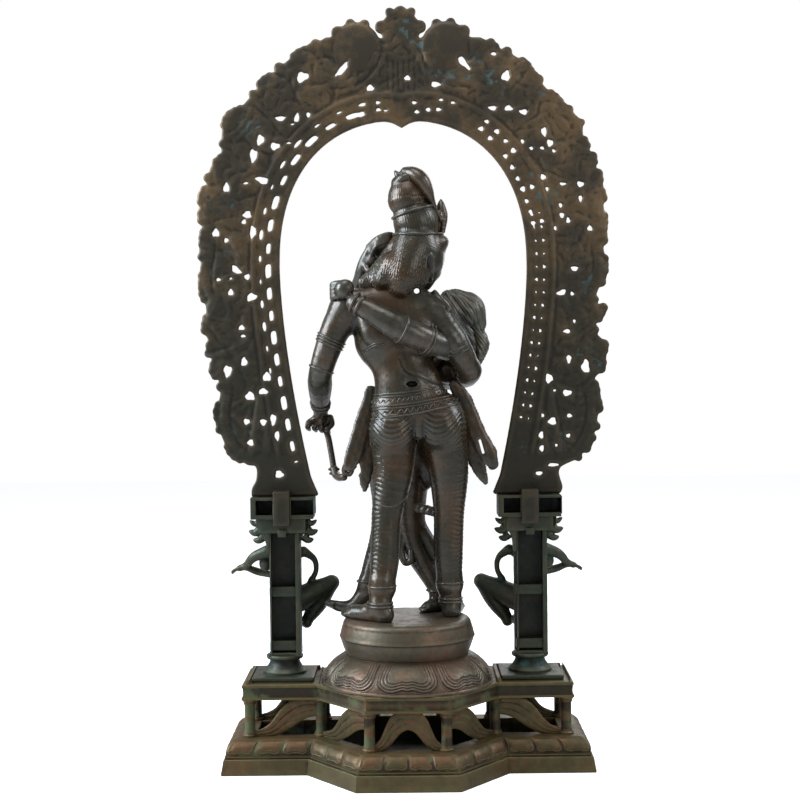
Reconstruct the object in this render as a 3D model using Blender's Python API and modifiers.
"""Bronze Krishna and Radha in embrace, on a lotus pedestal under an openwork arch.

Metres, +Z up. The statue's front faces -Y. The origin is on the underside, on the
axis of the round lotus. Left and right of the pillars are as seen from behind, so
pillar_left stands at +X.
"""
import math

import bmesh
import bpy
import numpy as np
from mathutils import Matrix, Vector

# Clearance between pieces that seat on each other
SEAT_GAP = 0.0003

# Base: plan of the slab, a polygon about the lotus with a wing at each side
WING_REACH = 0.390
WING_BACK = 0.042
WING_FRONT = 0.160
MIDDLE_APOTHEM = 0.1945
MIDDLE_HALF_FACE = 0.0954
PLINTH_FLARE = 0.047

# Base: heights
FASCIA_HEIGHT = 0.037
PETAL_MOULDING_HEIGHT = 0.034
SILL_HEIGHT = 0.079
GALLERY_HEIGHT = 0.088
SLAB_THICKNESS = 0.037
SLAB_LIP = 0.002
SLAB_CHAMFER = 0.004
SLAB_BOTTOM = SILL_HEIGHT + GALLERY_HEIGHT
SLAB_TOP = SLAB_BOTTOM + SLAB_THICKNESS

# Gallery posts and leaf brackets
POST_SHAFT_RADIUS = 0.0125
POST_END_RADIUS = 0.0175
POST_END_HEIGHT = 0.012
POST_INSET = 0.016
POST_SIDES = 6
BRACKET_THICKNESS = 0.008
BRACKET_INSET = 0.014
BRACKET_OVERLAP = 0.004
POST_SINK = 0.004

# Trays on the wings
TRAY_BAR_WIDTH = 0.009
TRAY_BAR_HEIGHT = 0.010
TRAY_SINK = 0.003
TRAY_CLEARANCE = 0.003

# Lotus pedestal
DOME_RADIUS = 0.205
DOME_PETALS = 8
PETAL_RELIEF = 0.007
NECK_RADIUS = 0.145
NECK_HEIGHT = 0.270
RIDGE_RADIUS = 0.1605
RIDGE_HEIGHT = 0.310
DRUM_RADIUS = 0.152
DRUM_TOP = 0.355
DRUM_ROUNDING = 0.008
LOTUS_STEPS = 40

# Pillars
PILLAR_X = 0.296
PILLAR_Y = -0.055
FOOT_PLATE_WIDTH = 0.148
FOOT_PLATE_HEIGHT = 0.011
BELL_RADIUS = 0.052
BELL_NECK_RADIUS = 0.036
BELL_HEIGHT = 0.034
RING_RADIUS = 0.0445
RING_HEIGHT = 0.009
SHAFT_WIDTH = 0.082
SHAFT_DEPTH = 0.062
SHAFT_FLANGE = 0.011
CHANNEL_DEPTH = 0.040
CROSS_BAR_HEIGHT = 0.024
CROSS_BAR_PLACES = (0.010, 0.140)
CAPITAL_BOTTOM = 0.554
CAPITAL_TOP = 0.640
CAPITAL_HALF_WIDTH = 0.075
CAPITAL_DEPTH = 0.084
WINDOW_HEIGHT = 0.036
WINDOW_HALF_SPAN = 0.062
WINDOW_DEPTH = 0.055
PEG_WIDTH = 0.021
PEG_HEIGHT = 0.018
PEG_OUT = 0.012
VOLUTE_SETBACK = 0.006
BELL_SIDES = 12

# Arch: inner edge is a superellipse on drawn-in legs, outer edge a lobed horseshoe
ARCH_THICKNESS = 0.016
ARCH_FOOT = CAPITAL_TOP + SEAT_GAP
INNER_HALF_WIDTH = 0.297
INNER_RISE = 0.350
INNER_SPRING = 1.190
INNER_POWER = 2.3
INNER_DRAW_IN = 0.068
INNER_DRAW_SPAN = 0.500
INNER_FOOT_FLARE = 0.020
FLARE_HEIGHT = 0.045
CUSP_DROP = 0.018
CUSP_HALF_WIDTH = 0.050
OUTER_HALF_WIDTH = 0.494
OUTER_RISE = 0.612
OUTER_CENTRE = 1.150
OUTER_POWER = 2.5
OUTER_LEG_SPREAD = 0.082
FOOT_OUTER = 0.377
LEG_CURL_TOP = 0.765
LEG_CURL_BOTTOM = 0.715
LOBES = 31
LOBE_DEPTH = 0.012
POINTS_PER_LOBE = 4
CREST_LOBE_PLACE = 0.112
CREST_LOBE_RISE = 1.712
CREST_LOBE_RADIUS = 0.064
FINIAL_RADIUS = 0.034
FINIAL_TOP = 1.812
INNER_RIM = 0.024
RIM_INSET = 0.002
RIB_DEPTH = 0.006
HOLES = 30
HOLE_SIZE = 0.0135
HOLE_POINTS = 6
TONGUE_WIDTH = 0.040
TONGUE_LENGTH = 0.068
TONGUE_THICKNESS = 0.012

# Figures
SKIN_VOXEL = 0.006
COUPLE_TRIANGLES = 4600
ATTENDANT_TRIANGLES = 380
FOLD_PITCH = 0.028
FOLD_RADIUS = 0.0040

# Materials: colour, roughness, metallic value
BRONZE = ("bronze", (0.115, 0.080, 0.055), 0.42, 0.85)
BRONZE_GREEN = ("bronze_verdigris", (0.085, 0.095, 0.060), 0.58, 0.70)
BRONZE_GOLD = ("bronze_gold", (0.165, 0.110, 0.055), 0.50, 0.80)


def clear_scene():
    """Start from an empty file."""
    for thing in list(bpy.data.objects):
        bpy.data.objects.remove(thing, do_unlink=True)


def new_collection(name):
    """A collection linked to the scene."""
    group = bpy.data.collections.new(name)
    bpy.context.scene.collection.children.link(group)
    return group


def make_material(name, colour, roughness, metallic):
    """A plain Principled metal."""
    material = bpy.data.materials.new(name)
    material.use_nodes = True
    shader = material.node_tree.nodes["Principled BSDF"]
    shader.inputs["Base Color"].default_value = (*colour, 1.0)
    shader.inputs["Roughness"].default_value = roughness
    shader.inputs["Metallic"].default_value = metallic
    return material


def object_from_bmesh(name, bm, group):
    """Put a bmesh in a new object of the group."""
    mesh = bpy.data.meshes.new(name)
    bmesh.ops.recalc_face_normals(bm, faces=bm.faces)
    if bm.calc_volume(signed=True) < 0:
        bmesh.ops.reverse_faces(bm, faces=bm.faces)
    bm.to_mesh(mesh)
    bm.free()
    thing = bpy.data.objects.new(name, mesh)
    group.objects.link(thing)
    return thing


def bake(thing):
    """Replace an object's mesh by its evaluated one and drop its modifiers."""
    graph = bpy.context.evaluated_depsgraph_get()
    mesh = bpy.data.meshes.new_from_object(thing.evaluated_get(graph))
    thing.modifiers.clear()
    thing.data = mesh
    return thing


def mesh_from_curve(thing, group):
    """Turn a curve object into a welded mesh object in the same place."""
    graph = bpy.context.evaluated_depsgraph_get()
    mesh = bpy.data.meshes.new_from_object(thing.evaluated_get(graph))
    bm = bmesh.new()
    bm.from_mesh(mesh)
    bmesh.ops.remove_doubles(bm, verts=bm.verts, dist=0.00005)
    bm.transform(thing.matrix_world)
    name = thing.name
    bpy.data.objects.remove(thing, do_unlink=True)
    return object_from_bmesh(name, bm, group)


def combine(target, other, operation, solver="EXACT"):
    """Unite two solids, or cut the second from the first."""
    step = target.modifiers.new(operation.lower(), "BOOLEAN")
    step.operation = operation
    step.solver = solver
    step.object = other
    bpy.context.view_layer.update()
    bake(target)
    bpy.data.objects.remove(other, do_unlink=True)
    return target


def unite(target, others):
    """Unite several closed solids with the first, one by one."""
    for other in others:
        combine(target, other, "UNION", "MANIFOLD")
    return target


def box(name, low, high, group):
    """A box between two corners."""
    bm = bmesh.new()
    bmesh.ops.create_cube(bm, size=1.0)
    low = Vector(low)
    high = Vector(high)
    bmesh.ops.scale(bm, vec=high - low, verts=bm.verts)
    bmesh.ops.translate(bm, vec=(low + high) / 2, verts=bm.verts)
    return object_from_bmesh(name, bm, group)


def turned(name, profile, steps, group):
    """A solid of revolution about Z from (radius, height) pairs, top to bottom."""
    mesh = bpy.data.meshes.new(name)
    mesh.from_pydata([(radius, 0, height) for radius, height in profile],
                     [(i, i + 1) for i in range(len(profile) - 1)], [])
    thing = bpy.data.objects.new(name, mesh)
    group.objects.link(thing)
    screw = thing.modifiers.new("turn", "SCREW")
    screw.steps = steps
    screw.render_steps = steps
    screw.use_merge_vertices = True
    screw.merge_threshold = 0.00005
    return bake(thing)


def plate(name, splines, thickness, group, matrix):
    """A flat outline, with holes, given thickness and placed by a matrix."""
    curve = bpy.data.curves.new(name, "CURVE")
    curve.dimensions = "2D"
    curve.fill_mode = "BOTH"
    curve.extrude = thickness / 2
    for points in splines:
        spline = curve.splines.new("POLY")
        spline.points.add(len(points) - 1)
        for point, (u, v) in zip(spline.points, points):
            point.co = (u, v, 0, 1)
        spline.use_cyclic_u = True
    thing = bpy.data.objects.new(name, curve)
    group.objects.link(thing)
    thing.matrix_world = matrix
    bpy.context.view_layer.update()
    return mesh_from_curve(thing, group)


def upright(x=0.0, y=0.0, z=0.0, turn=0.0):
    """Matrix that stands a flat outline up, facing -Y, turned about Z by degrees."""
    stand = Matrix.Rotation(math.radians(90), 4, "X")
    return Matrix.Translation((x, y, z)) @ Matrix.Rotation(math.radians(turn), 4, "Z") @ stand


def smooth_path(points, count):
    """Points on a smooth open curve through the given ones (Catmull-Rom)."""
    known = np.array(points, float)
    known = np.vstack([2 * known[0] - known[1], known, 2 * known[-1] - known[-2]])
    spans = len(known) - 3
    path = []
    for place in np.linspace(0, spans - 1e-9, count):
        i = int(place)
        t = place - i
        a, b, c, d = known[i:i + 4]
        path.append(0.5 * (2 * b + (c - a) * t + (2 * a - 5 * b + 4 * c - d) * t ** 2
                           + (3 * b - a - 3 * c + d) * t ** 3))
    return np.array(path)


# Base

def base_plan(offset):
    """Plan polygon of the base, moved outward by an offset."""
    half_turn = math.atan(MIDDLE_HALF_FACE / MIDDLE_APOTHEM)
    slope = math.pi / 2 - 2 * half_turn
    apothem = MIDDLE_APOTHEM + offset
    corner = apothem * math.tan(half_turn)

    def junction(depth):
        return (apothem - depth * math.sin(slope)) / math.cos(slope)

    back = WING_BACK + offset
    front = WING_FRONT + offset
    reach = WING_REACH + offset
    half = [(reach, back), (junction(back), back), (corner, apothem)]
    far = [(corner, -apothem), (junction(front), -front), (reach, -front)]
    return half + [(-x, y) for x, y in reversed(half)] + [(-x, y) for x, y in reversed(far)] + far


def moulded_block(name, profile, group):
    """The base's plan swept up a profile of (height, outward offset) pairs."""
    bm = bmesh.new()
    rings = []
    for height, offset in profile:
        ring = [bm.verts.new((x, y, height)) for x, y in base_plan(offset)]
        edges = [bm.edges.new((ring[i - 1], ring[i])) for i in range(len(ring))]
        rings.append((ring, edges))
    for (_, low), (_, high) in zip(rings, rings[1:]):
        bmesh.ops.bridge_loops(bm, edges=low + high)
    bm.faces.new(rings[0][0])
    bm.faces.new(rings[-1][0])
    return object_from_bmesh(name, bm, group)


def gallery_post(place, group):
    """A round post with a spreading foot and head, let into sill and slab."""
    low = SILL_HEIGHT - POST_SINK
    high = SLAB_BOTTOM + POST_SINK
    profile = [(0, high), (POST_END_RADIUS, high), (POST_SHAFT_RADIUS, SLAB_BOTTOM - POST_END_HEIGHT),
               (POST_SHAFT_RADIUS, SILL_HEIGHT + POST_END_HEIGHT), (POST_END_RADIUS, low), (0, low)]
    post = turned("post", profile, POST_SIDES, group)
    post.data.transform(Matrix.Translation((*place, 0)))
    return post


def leaf_bracket(start, end, group):
    """A curved leaf from the head of one post down to the foot of another."""
    start = Vector(start)
    end = Vector(end)
    run = (end - start).length
    rise = GALLERY_HEIGHT + 2 * POST_SINK
    upper = smooth_path([(0, rise), (0.42 * run, 0.86 * rise), (0.70 * run, 0.30 * rise),
                         (run, 0.13 * rise)], 6)
    lower = smooth_path([(run, 0), (0.62 * run, 0.04 * rise), (0.34 * run, 0.42 * rise),
                         (0, 0.60 * rise)], 6)
    along = (end - start).normalized()
    turn = math.degrees(math.atan2(along.y, along.x))
    outline = [tuple(point) for point in np.vstack([upper, lower])]
    place = upright(start.x, start.y, SILL_HEIGHT - POST_SINK, turn)
    return plate("bracket", [outline], BRACKET_THICKNESS, group, place)


def tray(side, group):
    """Three raised bars round a pillar's foot plate."""
    half = FOOT_PLATE_WIDTH / 2 + TRAY_CLEARANCE
    low = SLAB_TOP - TRAY_SINK
    high = SLAB_TOP + TRAY_BAR_HEIGHT
    back = WING_BACK - SLAB_CHAMFER
    front = PILLAR_Y - half - TRAY_BAR_WIDTH
    bars = []
    for way in (-1, 1):
        inner = side * PILLAR_X + way * half
        outer = inner + way * TRAY_BAR_WIDTH
        bars.append(box("tray_bar", (min(inner, outer), front, low), (max(inner, outer), back, high), group))
    reach = half + TRAY_BAR_WIDTH / 2
    bars.append(box("tray_bar", (side * PILLAR_X - reach, front, low),
                    (side * PILLAR_X + reach, front + TRAY_BAR_WIDTH, high), group))
    return bars


def build_base(group):
    """Plinth, gallery and slab as one casting."""
    petal_bottom = SILL_HEIGHT - PETAL_MOULDING_HEIGHT
    plinth_profile = [(0, PLINTH_FLARE), (FASCIA_HEIGHT, PLINTH_FLARE - 0.005),
                      (FASCIA_HEIGHT, PLINTH_FLARE - 0.010), (petal_bottom, PLINTH_FLARE - 0.010)]
    for share in (0.35, 0.65, 0.88, 1.0):
        swell = math.sqrt(1 - (0.92 * share) ** 2)
        plinth_profile.append((petal_bottom + share * PETAL_MOULDING_HEIGHT, (PLINTH_FLARE - 0.010) * swell))
    base = moulded_block("base", plinth_profile, group)
    slab_profile = [(SLAB_BOTTOM, SLAB_LIP), (SLAB_BOTTOM + 0.006, SLAB_LIP), (SLAB_BOTTOM + 0.007, 0),
                    (SLAB_TOP - SLAB_CHAMFER, 0), (SLAB_TOP, -SLAB_CHAMFER)]
    slab = moulded_block("slab", slab_profile, group)
    posts = base_plan(-POST_INSET)
    extra = base_plan(-POST_INSET)[1]
    front = -(WING_FRONT - POST_INSET)
    places = posts[:6] + [posts[6], (-extra[0], front), posts[8], posts[9], (extra[0], front), posts[11]]
    brackets = base_plan(-BRACKET_INSET)
    routes = [(brackets[1], brackets[0]), (brackets[4], brackets[5]),
              (brackets[2], brackets[1]), (brackets[3], brackets[4]),
              ((-BRACKET_OVERLAP, brackets[2][1]), brackets[2]),
              ((BRACKET_OVERLAP, brackets[3][1]), brackets[3]),
              ((extra[0], -(WING_FRONT - BRACKET_INSET)), brackets[11]),
              ((-extra[0], -(WING_FRONT - BRACKET_INSET)), brackets[6])]
    unite(base, [gallery_post(place, group) for place in places])
    unite(base, [leaf_bracket(start, end, group) for start, end in routes])
    unite(base, [slab])
    for side in (-1, 1):
        unite(base, tray(side, group))
    return base


# Lotus pedestal

def build_lotus(group):
    """Petalled dome and drum, turned in one piece and carved by moving its skin."""
    bottom = SLAB_TOP + SEAT_GAP
    dome_height = NECK_HEIGHT - bottom
    profile = [(0, DRUM_TOP), (DRUM_RADIUS - DRUM_ROUNDING, DRUM_TOP), (DRUM_RADIUS, DRUM_TOP - DRUM_ROUNDING),
               (RIDGE_RADIUS, RIDGE_HEIGHT + 0.004), (RIDGE_RADIUS, RIDGE_HEIGHT),
               (NECK_RADIUS + 0.006, NECK_HEIGHT + 0.012), (NECK_RADIUS, NECK_HEIGHT)]
    for share in (0.12, 0.28, 0.48, 0.70, 0.88, 1.0):
        swell = math.sin(share * math.pi / 2) ** 0.75
        profile.append((NECK_RADIUS + (DOME_RADIUS - NECK_RADIUS) * swell, NECK_HEIGHT - share * dome_height))
    profile.append((0, bottom))
    lotus = turned("lotus_pedestal", profile, LOTUS_STEPS, group)
    for vertex in lotus.data.vertices:
        x, y, z = vertex.co
        radius = math.hypot(x, y)
        if radius < NECK_RADIUS - 0.001 or z > NECK_HEIGHT - 0.002:
            continue
        drop = (NECK_HEIGHT - z) / dome_height
        turn = math.atan2(x, y) * DOME_PETALS / (2 * math.pi)
        petal = abs(math.sin(math.pi * (turn + 0.5)))
        raised = PETAL_RELIEF * (petal ** 0.6 - 0.5) * math.sin(math.pi * min(1, 0.15 + 0.85 * drop))
        vertex.co = Vector((x * (1 + raised / radius), y * (1 + raised / radius), z))
    return lotus


# Figures

def limb(joints, radii, group):
    """A rounded limb through joints, with a radius at each."""
    curve = bpy.data.curves.new("limb", "CURVE")
    curve.dimensions = "3D"
    curve.bevel_depth = 1.0
    curve.bevel_resolution = 3
    curve.use_fill_caps = True
    spline = curve.splines.new("POLY")
    steps = 6 * (len(joints) - 1) + 1
    path = smooth_path([(*joint, radius) for joint, radius in zip(joints, radii)], steps)
    spline.points.add(steps - 1)
    for point, (x, y, z, radius) in zip(spline.points, path):
        point.co = (x, y, z, 1)
        point.radius = radius
    thing = bpy.data.objects.new("limb", curve)
    group.objects.link(thing)
    bpy.context.view_layer.update()
    pieces = [mesh_from_curve(thing, group)]
    for joint, radius in zip((joints[0], joints[-1]), (radii[0], radii[-1])):
        pieces.append(ball(joint, (radius,) * 3, group))
    return pieces


def ball(centre, radii, group, tilt=(0, 0, 0)):
    """An ellipsoid, tilted by degrees about X, Y and Z."""
    bm = bmesh.new()
    bmesh.ops.create_uvsphere(bm, u_segments=20, v_segments=12, radius=1.0)
    bmesh.ops.scale(bm, vec=radii, verts=bm.verts)
    for axis, degrees in zip("XYZ", tilt):
        bm.transform(Matrix.Rotation(math.radians(degrees), 4, axis))
    bmesh.ops.translate(bm, vec=centre, verts=bm.verts)
    return object_from_bmesh("ball", bm, group)


def ring(centre, radius_x, radius_y, thickness, group, tilt=(0, 0, 0)):
    """An oval ring about Z, tilted by degrees."""
    bpy.ops.mesh.primitive_torus_add(major_segments=32, minor_segments=8, major_radius=1.0, minor_radius=0.1)
    thing = bpy.context.object
    mesh = thing.data
    for vertex in mesh.vertices:
        x, y, z = vertex.co
        around = math.hypot(x, y)
        out = (around - 1.0) * 10 * thickness
        vertex.co = (x / around * (radius_x + out), y / around * (radius_y + out), z * 10 * thickness)
    for axis, degrees in zip("XYZ", tilt):
        mesh.transform(Matrix.Rotation(math.radians(degrees), 4, axis))
    mesh.transform(Matrix.Translation(centre))
    for owner in thing.users_collection:
        owner.objects.unlink(thing)
    group.objects.link(thing)
    return thing


def cast_skin(name, pieces, triangles, group):
    """Fuse overlapping shapes into one smooth skin of about so many triangles."""
    bm = bmesh.new()
    for piece in pieces:
        bm.from_mesh(piece.data)
        bpy.data.objects.remove(piece, do_unlink=True)
    figure = object_from_bmesh(name, bm, group)
    remesh = figure.modifiers.new("fuse", "REMESH")
    remesh.mode = "VOXEL"
    remesh.voxel_size = SKIN_VOXEL
    soften = figure.modifiers.new("soften", "SMOOTH")
    soften.factor = 0.5
    soften.iterations = 2
    bake(figure)
    figure.data.calc_loop_triangles()
    thin = figure.modifiers.new("thin", "DECIMATE")
    thin.ratio = triangles / len(figure.data.loop_triangles)
    bake(figure)
    keep_main_body(figure)
    return figure


def keep_main_body(thing):
    """Drop the specks that thinning can leave beside the main body."""
    bm = bmesh.new()
    bm.from_mesh(thing.data)
    waiting = set(bm.verts)
    bodies = []
    while waiting:
        front = [waiting.pop()]
        body = []
        while front:
            vertex = front.pop()
            body.append(vertex)
            near = {edge.other_vert(vertex) for edge in vertex.link_edges} & waiting
            waiting -= near
            front.extend(near)
        bodies.append(body)
    bodies.sort(key=len)
    for body in bodies[:-1]:
        bmesh.ops.delete(bm, geom=body, context="VERTS")
    bm.to_mesh(thing.data)
    bm.free()


def cut_flat(thing, height):
    """Cut a solid off flat at a height and keep what is above."""
    bm = bmesh.new()
    bm.from_mesh(thing.data)
    everything = list(bm.verts) + list(bm.edges) + list(bm.faces)
    cut = bmesh.ops.bisect_plane(bm, geom=everything, dist=1e-6, plane_co=(0, 0, height),
                                 plane_no=(0, 0, 1), clear_inner=True)
    edges = [item for item in cut["geom_cut"] if isinstance(item, bmesh.types.BMEdge)]
    bmesh.ops.edgenet_fill(bm, edges=edges)
    bmesh.ops.triangulate(bm, faces=bm.faces)
    bm.to_mesh(thing.data)
    bm.free()


# Krishna's joints: x to the photo's left, y to the back, z up
KRISHNA = {
    "ankle_l": (0.062, 0.072, 0.398), "knee_l": (0.043, 0.030, 0.600), "hip_l": (0.028, 0.010, 0.790),
    "heel_l": (0.054, 0.078, 0.371), "ball_l": (0.122, 0.014, 0.366), "toes_l": (0.143, -0.006, 0.363),
    "ankle_r": (-0.106, -0.008, 0.398), "knee_r": (-0.100, -0.004, 0.600), "hip_r": (-0.084, 0.006, 0.795),
    "heel_r": (-0.106, 0.000, 0.371), "ball_r": (-0.118, -0.080, 0.366), "toes_r": (-0.121, -0.104, 0.363),
    "pelvis": (-0.026, 0.010, 0.828), "waist": (-0.012, 0.016, 0.905), "chest": (0.012, 0.010, 1.020),
    "collar": (0.018, 0.006, 1.095), "neck": (0.004, 0.000, 1.120), "skull": (-0.036, -0.002, 1.215),
    "shoulder_l": (0.122, 0.004, 1.100), "elbow_l": (0.194, -0.006, 0.944), "wrist_l": (0.209, -0.112, 0.842),
    "fist_l": (0.216, -0.132, 0.815),
    "shoulder_r": (-0.078, 0.004, 1.076), "elbow_r": (-0.163, -0.018, 0.936), "wrist_r": (-0.120, -0.150, 0.915),
    "fist_r": (-0.080, -0.178, 0.905),
}

# Radha's joints, in the same frame; she stands in front of him and leans back
RADHA = {
    "ankle_l": (-0.076, -0.088, 0.404), "knee_l": (-0.012, -0.112, 0.545), "hip_l": (-0.012, -0.118, 0.760),
    "heel_l": (-0.088, -0.098, 0.371), "ball_l": (-0.054, -0.068, 0.366),
    "toes_l": (-0.044, -0.060, 0.363),
    "ankle_r": (0.096, -0.078, 0.432), "knee_r": (0.058, -0.122, 0.590), "hip_r": (0.050, -0.118, 0.770),
    "heel_r": (0.092, -0.070, 0.398), "ball_r": (0.140, -0.080, 0.366), "toes_r": (0.192, -0.082, 0.382),
    "pelvis": (0.018, -0.118, 0.800), "waist": (-0.018, -0.112, 0.885), "chest": (-0.066, -0.105, 0.972),
    "collar": (-0.090, -0.100, 1.008), "neck": (-0.112, -0.098, 1.028), "skull": (-0.146, -0.092, 1.058),
    "shoulder_l": (-0.124, -0.070, 0.988), "elbow_l": (-0.060, 0.070, 1.012), "wrist_l": (0.108, 0.066, 1.105),
    "hand_l": (0.141, 0.046, 1.136),
    "shoulder_r": (-0.018, -0.122, 1.028), "elbow_r": (0.112, -0.125, 1.085), "wrist_r": (0.096, -0.060, 1.172),
    "hand_r": (0.058, -0.028, 1.222),
}


def joints(body, names):
    """The named joints of a figure, in order."""
    return [body[name] for name in names.split()]


def leg(body, side, radii, group):
    """Hip to ankle and the foot."""
    ankle = f"ankle_{side}"
    shapes = limb(joints(body, f"hip_{side} knee_{side} {ankle}"), radii[:3], group)
    shapes += limb(joints(body, f"{ankle} heel_{side}"), (radii[2], 0.020), group)
    shapes += limb(joints(body, f"heel_{side} ball_{side} toes_{side}"), radii[3:], group)
    return shapes


def arm(body, side, end, radii, group):
    """Shoulder to hand."""
    return limb(joints(body, f"shoulder_{side} elbow_{side} wrist_{side} {end}_{side}"), radii, group)


def across(a, b, share):
    """A point between two joints."""
    return tuple(np.array(a) * (1 - share) + np.array(b) * share)


def cuff(a, b, share, radius, group, thickness=0.0035):
    """A ring of jewellery round a limb between two joints."""
    direction = (Vector(b) - Vector(a)).normalized()
    turn = direction.to_track_quat("Z", "Y").to_euler()
    thing = ring((0, 0, 0), radius, radius, thickness, group)
    thing.data.transform(turn.to_matrix().to_4x4())
    thing.data.transform(Matrix.Translation(across(a, b, share)))
    return thing


def krishna_body(group):
    """Krishna's trunk, limbs and head."""
    k = KRISHNA
    shapes = leg(k, "l", (0.056, 0.038, 0.024, 0.020, 0.020, 0.012), group)
    shapes += leg(k, "r", (0.054, 0.038, 0.024, 0.020, 0.020, 0.012), group)
    shapes += limb(joints(k, "pelvis waist chest collar"), (0.080, 0.062, 0.076, 0.055), group)
    shapes.append(ball(k["pelvis"], (0.106, 0.066, 0.062), group, (0, -6, 0)))
    shapes.append(ball(k["waist"], (0.082, 0.056, 0.064), group, (0, -6, 0)))
    shapes.append(ball((0.024, 0.034, 0.800), (0.054, 0.050, 0.056), group))
    shapes.append(ball((-0.084, 0.034, 0.806), (0.052, 0.048, 0.056), group))
    shapes.append(ball(k["chest"], (0.104, 0.060, 0.082), group, (0, 8, 0)))
    shapes.append(ball(k["collar"], (0.104, 0.046, 0.036), group, (0, -7, 0)))
    shapes += limb(joints(k, "collar neck skull"), (0.042, 0.034, 0.034), group)
    shapes += arm(k, "l", "fist", (0.036, 0.026, 0.018, 0.020), group)
    shapes += arm(k, "r", "fist", (0.036, 0.027, 0.018, 0.016), group)
    shapes.append(ball((0.222, -0.134, 0.812), (0.026, 0.018, 0.017), group, (0, 12, 0)))
    return shapes


def krishna_head(group):
    """Skull, face mass, hair and the tiered crown of hair with its leaf."""
    k = KRISHNA
    shapes = [ball(k["skull"], (0.056, 0.060, 0.062), group)]
    shapes.append(ball((-0.058, -0.034, 1.190), (0.030, 0.036, 0.052), group, (0, 14, -30)))
    shapes.append(ball((-0.078, -0.022, 1.228), (0.034, 0.036, 0.028), group))
    shapes += limb([(-0.020, 0.030, 1.220), (-0.004, 0.044, 1.170), (0.004, 0.050, 1.136)],
                   (0.048, 0.044, 0.034), group)
    shapes += limb([(0.020, 0.020, 1.200), (0.060, 0.016, 1.156), (0.090, 0.010, 1.134)],
                   (0.034, 0.022, 0.016), group)
    shapes.append(ball((-0.036, 0.0, 1.281), (0.054, 0.052, 0.026), group, (0, -6, 0)))
    shapes.append(ball((-0.012, 0.002, 1.349), (0.049, 0.048, 0.039), group, (0, -10, 0)))
    shapes.append(ring((-0.036, 0.0, 1.258), 0.051, 0.050, 0.004, group, (0, -3, 0)))
    shapes.append(ring((-0.028, 0.0, 1.312), 0.047, 0.046, 0.004, group, (0, -14, 0)))
    shapes += limb([(-0.090, -0.016, 1.290), (-0.072, -0.010, 1.335), (-0.058, -0.004, 1.378),
                    (-0.028, 0.000, 1.398), (0.008, 0.000, 1.398)], (0.014, 0.020, 0.024, 0.022, 0.014), group)
    shapes += limb([(-0.094, -0.028, 1.286), (-0.100, -0.030, 1.325), (-0.098, -0.030, 1.346)],
                   (0.014, 0.011, 0.006), group)
    return shapes


def radha_body(group):
    """Radha's trunk, limbs and head, thrown back at the photo's right."""
    r = RADHA
    shapes = leg(r, "l", (0.058, 0.036, 0.020, 0.017, 0.017, 0.010), group)
    shapes += leg(r, "r", (0.056, 0.036, 0.020, 0.016, 0.018, 0.009), group)
    shapes += limb(joints(r, "pelvis waist chest collar"), (0.066, 0.046, 0.056, 0.040), group)
    shapes.append(ball(r["pelvis"], (0.082, 0.058, 0.060), group, (0, 20, 0)))
    shapes.append(ball((-0.062, -0.082, 0.985), (0.074, 0.050, 0.050), group, (0, 26, 0)))
    shapes += limb(joints(r, "collar neck skull"), (0.030, 0.025, 0.030), group)
    shapes += arm(r, "l", "hand", (0.030, 0.031, 0.022, 0.022), group)
    shapes += arm(r, "r", "hand", (0.030, 0.022, 0.016, 0.015), group)
    shapes.append(ball((0.144, 0.044, 1.138), (0.026, 0.018, 0.022), group))
    shapes.append(ball((0.166, 0.026, 1.130), (0.010, 0.018, 0.014), group))
    shapes.append(ball((0.050, -0.014, 1.224), (0.026, 0.018, 0.026), group, (0, 30, 0)))
    shapes.append(ball(r["skull"], (0.052, 0.050, 0.058), group, (0, -50, 0)))
    shapes.append(ball((-0.128, -0.070, 1.084), (0.040, 0.036, 0.036), group, (0, -40, 0)))
    shapes.append(ball((-0.170, -0.096, 1.084), (0.024, 0.040, 0.030), group))
    shapes.append(ball((-0.196, -0.100, 0.998), (0.020, 0.028, 0.030), group))
    shapes += limb([(-0.180, -0.098, 1.040), (-0.192, -0.100, 1.010)], (0.026, 0.020), group)
    return shapes


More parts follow.
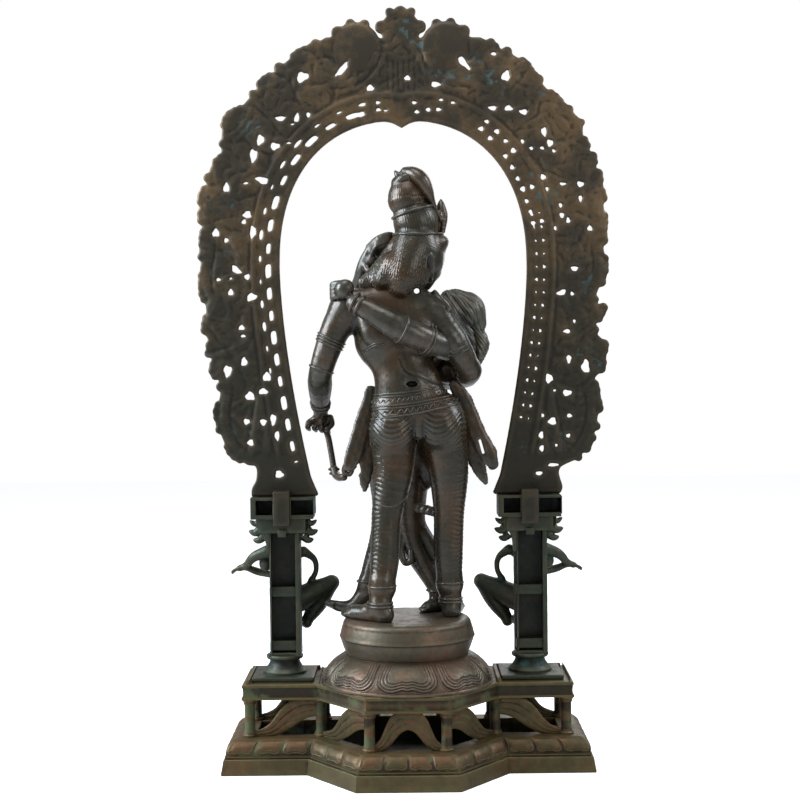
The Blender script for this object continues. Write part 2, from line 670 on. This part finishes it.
def couple_dress(group):
    """Belt, folds of the cloth, cuffs, the scarf ends at the hips and the flute."""
    k = KRISHNA
    r = RADHA
    shapes = []
    for height, half, depth in ((0.893, 0.088, 0.066), (0.866, 0.096, 0.070), (0.838, 0.106, 0.074)):
        shapes.append(ring((-0.020, 0.012, height), half, depth, 0.006, group, (0, 8, 0)))
    for side, inward in (("l", 0.002), ("r", -0.002)):
        hip = k[f"hip_{side}"]
        knee = k[f"knee_{side}"]
        ankle = k[f"ankle_{side}"]
        folds = int((hip[2] - knee[2]) / FOLD_PITCH)
        for i in range(1, folds):
            share = i / folds
            shapes.append(cuff(hip, knee, share, 0.057 - 0.017 * share, group, FOLD_RADIUS))
        folds = int((knee[2] - ankle[2] - 0.050) / FOLD_PITCH)
        for i in range(folds):
            share = i / (folds + 1.6)
            shapes.append(cuff(knee, ankle, share, 0.0385 - 0.007 * share, group, FOLD_RADIUS))
        shapes.append(cuff(knee, ankle, 0.82, 0.031 + inward, group, 0.005))
        shapes.append(cuff(ankle, k[f"heel_{side}"], 0.2, 0.026, group, 0.004))
    for place in (0.50, 0.56, 0.93):
        shapes.append(cuff(k["shoulder_l"], k["elbow_l"], place, 0.030, group))
    shapes.append(cuff(k["elbow_l"], k["wrist_l"], 0.9, 0.022, group))
    for place in (0.56, 0.63):
        shapes.append(cuff(k["shoulder_r"], k["elbow_r"], place, 0.030, group))
    for place in (0.06, 0.20, 0.94):
        shapes.append(cuff(r["elbow_l"], r["wrist_l"], place, 0.033 - 0.010 * place, group))
    for route, width in (
            ([(0.085, 0.885), (0.100, 0.850), (0.112, 0.800), (0.128, 0.745), (0.138, 0.705)], 0.026),
            ([(0.090, 0.850), (0.100, 0.780), (0.104, 0.720), (0.108, 0.672)], 0.024),
            ([(-0.130, 0.895), (-0.150, 0.850), (-0.168, 0.790), (-0.190, 0.745), (-0.208, 0.722)], 0.026),
            ([(-0.130, 0.850), (-0.150, 0.790), (-0.165, 0.735), (-0.182, 0.690)], 0.024)):
        shapes += ribbon(route, width, 0.0085, -0.012, group)
    shapes += limb([(0.143, -0.020, 0.698), (0.134, -0.036, 0.704)], (0.010, 0.009), group)
    shapes += limb([k["fist_l"], (0.192, -0.118, 0.790), (0.176, -0.082, 0.712)], (0.008, 0.0075, 0.008), group)
    shapes += limb([(0.175, -0.080, 0.706), (0.168, -0.068, 0.688), (0.150, -0.038, 0.688)],
                   (0.010, 0.010, 0.009), group)
    shapes += limb([(0.030, -0.128, 0.700), (0.010, -0.110, 0.570), (0.014, -0.095, 0.470)],
                   (0.020, 0.014, 0.010), group)
    shapes += limb([(-0.010, -0.110, 0.625), (-0.085, -0.060, 0.598)], (0.012, 0.012), group)
    return shapes


def ribbon(route, width, thickness, y, group):
    """A flat hanging band along a route in the XZ plane, thick enough to cast."""
    shapes = []
    path = smooth_path(route, 9)
    for (x, z), (next_x, next_z) in zip(path, path[1:]):
        middle = ((x + next_x) / 2, y, (z + next_z) / 2)
        length = math.hypot(next_x - x, next_z - z)
        tilt = math.degrees(math.atan2(next_x - x, next_z - z))
        shapes.append(ball(middle, (width, thickness, length), group, (0, tilt, 0)))
    return shapes


def build_couple(group):
    """Krishna and Radha with dress, scarves and flute, as one casting with flat soles."""
    pieces = krishna_body(group) + krishna_head(group) + radha_body(group) + couple_dress(group)
    couple = cast_skin("krishna_and_radha", pieces, COUPLE_TRIANGLES, group)
    cut_flat(couple, DRUM_TOP + SEAT_GAP)
    return couple


# Pillars

def attendant(side, group):
    """A small seated figure on the pillar's front, one knee out to the middle."""
    front = PILLAR_Y - SHAFT_DEPTH / 2 - 0.020
    inward = -side

    def place(across_x, depth, height):
        return (side * PILLAR_X + inward * across_x, front - depth, height)

    shapes = limb([place(0, 0.002, 0.372), place(0, 0.004, 0.430), place(0, 0.002, 0.492)],
                  (0.036, 0.026, 0.032), group)
    shapes.append(ball(place(0, 0.002, 0.500), (0.052, 0.020, 0.020), group))
    shapes += limb([place(0, 0.002, 0.500), place(0, 0.004, 0.545)], (0.014, 0.014), group)
    shapes.append(ball(place(0, 0.008, 0.556), (0.024, 0.026, 0.030), group))
    shapes.append(ball(place(0, 0.000, 0.588), (0.015, 0.015, 0.018), group))
    shapes += limb([place(0.014, 0.004, 0.372), place(0.118, 0.034, 0.424), place(0.046, 0.034, 0.322)],
                   (0.028, 0.019, 0.014), group)
    shapes += limb([place(0.046, 0.034, 0.322), place(0.042, 0.060, 0.312)], (0.012, 0.010), group)
    shapes += limb([place(-0.014, 0.006, 0.368), place(-0.040, 0.046, 0.362), place(0.016, 0.062, 0.352)],
                   (0.028, 0.021, 0.014), group)
    shapes += limb([place(-0.050, 0.000, 0.504), place(-0.086, 0.010, 0.482), place(-0.098, 0.030, 0.462)],
                   (0.014, 0.011, 0.009), group)
    shapes += limb([place(-0.098, 0.030, 0.462), place(-0.134, 0.030, 0.447)], (0.010, 0.006), group)
    shapes += limb([place(-0.040, 0.020, 0.440), place(-0.094, 0.032, 0.456)], (0.009, 0.007), group)
    shapes += limb([place(0.044, 0.006, 0.500), place(0.072, 0.016, 0.470), place(0.062, 0.022, 0.424)],
                   (0.010, 0.006, 0.008), group)
    shapes.append(ball(place(0, 0.010, 0.330), (0.052, 0.044, 0.020), group))
    shapes += limb([place(0, -0.012, 0.330), place(0, -0.012, 0.500)], (0.022, 0.022), group)
    return cast_skin("attendant", shapes, ATTENDANT_TRIANGLES, group)


def build_pillar(name, side, group):
    """Foot plate, bell, hollow-backed shaft, box capital and the attendant, one casting."""
    x = side * PILLAR_X
    bottom = SLAB_TOP + SEAT_GAP
    plate_top = bottom + FOOT_PLATE_HEIGHT
    half = FOOT_PLATE_WIDTH / 2
    back = PILLAR_Y + SHAFT_DEPTH / 2
    front = PILLAR_Y - SHAFT_DEPTH / 2
    pillar = box(name, (x - half, PILLAR_Y - half, bottom), (x + half, PILLAR_Y + half, plate_top), group)
    bell_top = plate_top + BELL_HEIGHT
    bell = turned("bell", [(0, bell_top + RING_HEIGHT), (RING_RADIUS - 0.002, bell_top + RING_HEIGHT),
                           (RING_RADIUS, bell_top), (BELL_NECK_RADIUS, bell_top - 0.004),
                           (BELL_RADIUS - 0.006, plate_top + 0.012), (BELL_RADIUS, plate_top - 0.003),
                           (0, plate_top - 0.003)], BELL_SIDES, group)
    bell.data.transform(Matrix.Translation((x, PILLAR_Y, 0)))
    shaft_bottom = bell_top + RING_HEIGHT - 0.003
    shaft = box("shaft", (x - SHAFT_WIDTH / 2, front, shaft_bottom),
                (x + SHAFT_WIDTH / 2, back, CAPITAL_BOTTOM + 0.010), group)
    channel_half = SHAFT_WIDTH / 2 - SHAFT_FLANGE
    channel = box("channel", (x - channel_half, back - CHANNEL_DEPTH, bell_top + RING_HEIGHT + 0.006),
                  (x + channel_half, back + 0.020, CAPITAL_BOTTOM + 0.002), group)
    combine(shaft, channel, "DIFFERENCE")
    for place in CROSS_BAR_PLACES:
        low = bell_top + RING_HEIGHT + place
        bar = box("cross_bar", (x - channel_half - 0.004, back - CHANNEL_DEPTH - 0.004, low),
                  (x + channel_half + 0.004, back - 0.010, low + CROSS_BAR_HEIGHT), group)
        combine(shaft, bar, "UNION")
    box_back = PILLAR_Y + CAPITAL_DEPTH / 2
    box_front = PILLAR_Y - CAPITAL_DEPTH / 2
    capital = box("capital", (x - CAPITAL_HALF_WIDTH, box_front, CAPITAL_BOTTOM),
                  (x + CAPITAL_HALF_WIDTH, box_back, CAPITAL_TOP), group)
    wall = (CAPITAL_TOP - CAPITAL_BOTTOM - WINDOW_HEIGHT)
    for way in (-1, 1):
        near = x + way * (TONGUE_WIDTH / 2 + 0.002)
        far = x + way * WINDOW_HALF_SPAN
        window = box("window", (min(near, far), box_back - WINDOW_DEPTH, CAPITAL_BOTTOM + wall - 0.006),
                     (max(near, far), box_back + 0.020, CAPITAL_TOP - 0.006), group)
        combine(capital, window, "DIFFERENCE")
    pieces = [bell, shaft, capital]
    for way in (-1, 1):
        outline = smooth_path([(0, 0), (0.004, -0.028), (0.022, -0.040), (0.036, -0.030), (0.034, -0.014),
                               (0.042, 0.004), (0.034, 0.012), (0, 0.012)], 14)
        points = [(way * u, v) for u, v in outline]
        pieces.append(plate("volute", [points], SHAFT_DEPTH - VOLUTE_SETBACK, group,
                            upright(x + way * (SHAFT_WIDTH / 2 - 0.006), PILLAR_Y, CAPITAL_BOTTOM)))
    pieces.append(box("peg", (x - PEG_WIDTH / 2, back - CHANNEL_DEPTH - 0.004,
                              CAPITAL_BOTTOM - PEG_HEIGHT / 2),
                      (x + PEG_WIDTH / 2, back + PEG_OUT, CAPITAL_BOTTOM + PEG_HEIGHT / 2), group))
    pieces.append(attendant(side, group))
    return unite(pillar, pieces)


# Arch

def inner_edge():
    """Inner edge of the arch from the +X foot over the top to the -X foot."""
    half = [(INNER_HALF_WIDTH - INNER_DRAW_IN - INNER_FOOT_FLARE, ARCH_FOOT)]
    for height in np.linspace(ARCH_FOOT + FLARE_HEIGHT, INNER_SPRING, 9):
        fall = (INNER_SPRING - height) / INNER_DRAW_SPAN
        half.append((INNER_HALF_WIDTH - INNER_DRAW_IN * fall ** 1.6, height))
    for angle in np.linspace(8, 90, 14):
        x = INNER_HALF_WIDTH * math.cos(math.radians(angle)) ** (2 / INNER_POWER)
        z = INNER_SPRING + INNER_RISE * math.sin(math.radians(angle)) ** (2 / INNER_POWER)
        z -= CUSP_DROP * max(0.0, 1 - x / CUSP_HALF_WIDTH) ** 2
        half.append((x, z))
    half[-1] = (0.0, half[-1][1])
    return half + [(-x, z) for x, z in reversed(half[:-1])]


def outer_reach(angle):
    """Distance from the arch's centre to its outer edge, before the lobes."""
    cosine = math.cos(angle)
    sine = math.sin(angle)
    if sine >= 0:
        across_part = abs(cosine / OUTER_HALF_WIDTH) ** OUTER_POWER
        reach = (across_part + (sine / OUTER_RISE) ** OUTER_POWER) ** (-1 / OUTER_POWER)
    else:
        reach = OUTER_HALF_WIDTH + OUTER_LEG_SPREAD * min(1.0, abs(sine) / 0.65) ** 2.4
    for x, z, radius in ((CREST_LOBE_PLACE, CREST_LOBE_RISE, CREST_LOBE_RADIUS),
                         (-CREST_LOBE_PLACE, CREST_LOBE_RISE, CREST_LOBE_RADIUS),
                         (0, FINIAL_TOP - FINIAL_RADIUS, FINIAL_RADIUS)):
        along = x * cosine + (z - OUTER_CENTRE) * sine
        aside = x * sine - (z - OUTER_CENTRE) * cosine
        if abs(aside) < radius and along > 0:
            reach = max(reach, along + math.sqrt(radius ** 2 - aside ** 2))
    return reach


def outer_edge():
    """Lobed outer edge of the arch, from the -X foot over the top to the +X foot."""
    low = math.asin((LEG_CURL_TOP - OUTER_CENTRE) / (OUTER_HALF_WIDTH + OUTER_LEG_SPREAD))
    count = LOBES * POINTS_PER_LOBE
    edge = []
    for i in range(count + 1):
        angle = math.pi - low - (math.pi - 2 * low) * i / count
        bite = LOBE_DEPTH * (1 - abs(math.sin(math.pi * i / POINTS_PER_LOBE)) ** 0.7)
        crest = abs(angle - math.pi / 2) < 0.36
        reach = outer_reach(angle) - (0 if crest else bite)
        edge.append((reach * math.cos(angle), OUTER_CENTRE + reach * math.sin(angle)))
    foot = [(FOOT_OUTER + 0.020, LEG_CURL_BOTTOM), (FOOT_OUTER, LEG_CURL_BOTTOM - 0.012),
            (FOOT_OUTER - 0.001, ARCH_FOOT + 0.030), (FOOT_OUTER + 0.007, ARCH_FOOT + 0.014),
            (FOOT_OUTER, ARCH_FOOT)]
    return [(-x, z) for x, z in reversed(foot)] + edge + foot


def openwork_holes():
    """Leaf-shaped holes that follow the middle of the outer zone."""
    holes = []
    for i in range(HOLES):
        angle = math.radians(-36 + 252 * (i + 0.5) / HOLES)
        inner = math.hypot(INNER_HALF_WIDTH * math.cos(angle), INNER_RISE * math.sin(angle)) + 0.075
        outer = outer_reach(angle) - 0.030
        middle = inner + (outer - inner) * (0.35 + 0.35 * (i % 2))
        if math.sin(angle) < -0.2:
            middle = outer_reach(angle) - 0.055 - 0.030 * (i % 2)
        size = HOLE_SIZE * (1 + 0.35 * math.sin(2.4 * i))
        centre = (middle * math.cos(angle), OUTER_CENTRE + middle * math.sin(angle))
        turn = angle + 0.9 * math.sin(1.7 * i)
        hole = []
        for step in range(HOLE_POINTS):
            around = 2 * math.pi * step / HOLE_POINTS
            long_way = size * 1.30 * math.cos(around)
            short_way = size * 0.80 * math.sin(around)
            hole.append((centre[0] + long_way * math.cos(turn) - short_way * math.sin(turn),
                         centre[1] + long_way * math.sin(turn) + short_way * math.cos(turn)))
        holes.append(hole)
    return holes


def build_arch(group):
    """Openwork plate with a raised inner rim in front and a tongue behind each foot."""
    outline = inner_edge() + outer_edge()
    stand = upright(0, PILLAR_Y, 0)
    arch = plate("arch", [outline] + openwork_holes(), ARCH_THICKNESS, group, stand)
    rim = []
    inset = []
    for x, z in inner_edge()[1:-1:2]:
        away = Vector((x, z - OUTER_CENTRE)).normalized()
        rim.append((x + away.x * INNER_RIM, z + away.y * INNER_RIM))
        inset.append((x + away.x * RIM_INSET, z + away.y * RIM_INSET))
    rib = plate("rib", [inset + rim[::-1]], ARCH_THICKNESS / 2 + RIB_DEPTH, group,
                upright(0, PILLAR_Y - (ARCH_THICKNESS / 2 + RIB_DEPTH) / 2, 0))
    pieces = [rib]
    box_back = PILLAR_Y + CAPITAL_DEPTH / 2 + SEAT_GAP
    for side in (-1, 1):
        x = side * PILLAR_X
        hook = box("hook", (x - TONGUE_WIDTH / 2, PILLAR_Y, ARCH_FOOT),
                   (x + TONGUE_WIDTH / 2, box_back + TONGUE_THICKNESS, ARCH_FOOT + 0.014), group)
        tongue = box("tongue", (x - TONGUE_WIDTH / 2, box_back, ARCH_FOOT - TONGUE_LENGTH),
                     (x + TONGUE_WIDTH / 2, box_back + TONGUE_THICKNESS, ARCH_FOOT + 0.004), group)
        pieces.append(unite(hook, [tongue]))
    return unite(arch, pieces)


def finish(thing, material):
    """Give a piece its material and shade its round parts smooth."""
    thing.data.materials.clear()
    thing.data.materials.append(material)
    thing.data.shade_smooth()
    thing.data.set_sharp_from_angle(angle=math.radians(35))


def main():
    clear_scene()
    group = new_collection("radha_krishna_statue")
    bronze = make_material(*BRONZE)
    green = make_material(*BRONZE_GREEN)
    gold = make_material(*BRONZE_GOLD)
    finish(build_base(group), green)
    finish(build_lotus(group), bronze)
    finish(build_couple(group), bronze)
    finish(build_pillar("pillar_left", 1, group), green)
    finish(build_pillar("pillar_right", -1, group), green)
    finish(build_arch(group), gold)


main()
